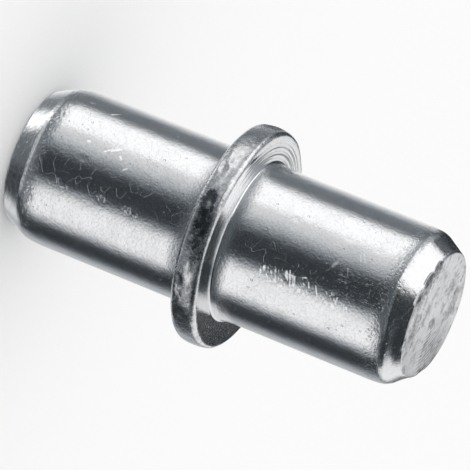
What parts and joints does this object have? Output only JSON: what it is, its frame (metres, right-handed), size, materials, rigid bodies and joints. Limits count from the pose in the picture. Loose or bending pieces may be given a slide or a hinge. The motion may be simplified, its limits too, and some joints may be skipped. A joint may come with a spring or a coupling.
{
  "type": "shelf support pin",
  "caption": "One-piece steel shelf support pin: two plain round shanks with chamfered ends and a thin collar between them that stops the pin at the face of the cabinet side.",
  "frame": {"origin": "centre of the flat end of the lower shank, which the pin stands on", "axes": "+Z along the pin's axis, from the lower shank through the collar to the upper shank; X and Y are any two radial directions, because the pin is round"},
  "size_m": [0.0072, 0.0072, 0.0137],
  "materials": {
    "zinc_plated_steel": "bright zinc plating, slightly worn, with fine handling marks"
  },
  "bodies": {
    "root": {"shelf_pin": "zinc_plated_steel"}
  },
  "joints": []
}
